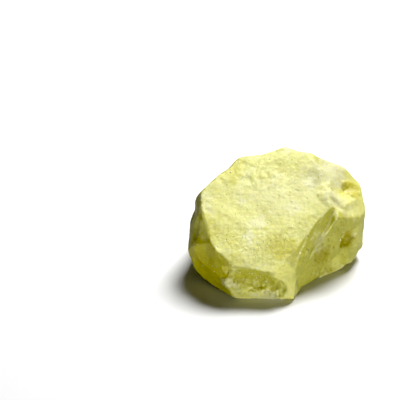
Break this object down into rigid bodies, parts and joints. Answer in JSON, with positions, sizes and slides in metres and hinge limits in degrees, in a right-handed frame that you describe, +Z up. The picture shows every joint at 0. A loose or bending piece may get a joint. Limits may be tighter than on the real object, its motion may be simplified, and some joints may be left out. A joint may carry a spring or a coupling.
{
  "type": "native sulfur lump",
  "caption": "Broken lump of massive native sulfur with one broad crowned fracture face, a notched shoulder and stepped side walls, resting on a flat break.",
  "frame": {"origin": "middle of the lump's box, on the surface that it rests on", "axes": "+X along the lump's length, +Z up, -Y the side that shows the broad fracture face"},
  "size_m": [0.0518, 0.0408, 0.0342],
  "materials": {
    "native_sulfur": "pale lemon yellow fine-grained fracture, dull to waxy"
  },
  "bodies": {
    "root": {"sulfur_lump": "native_sulfur"}
  },
  "joints": []
}
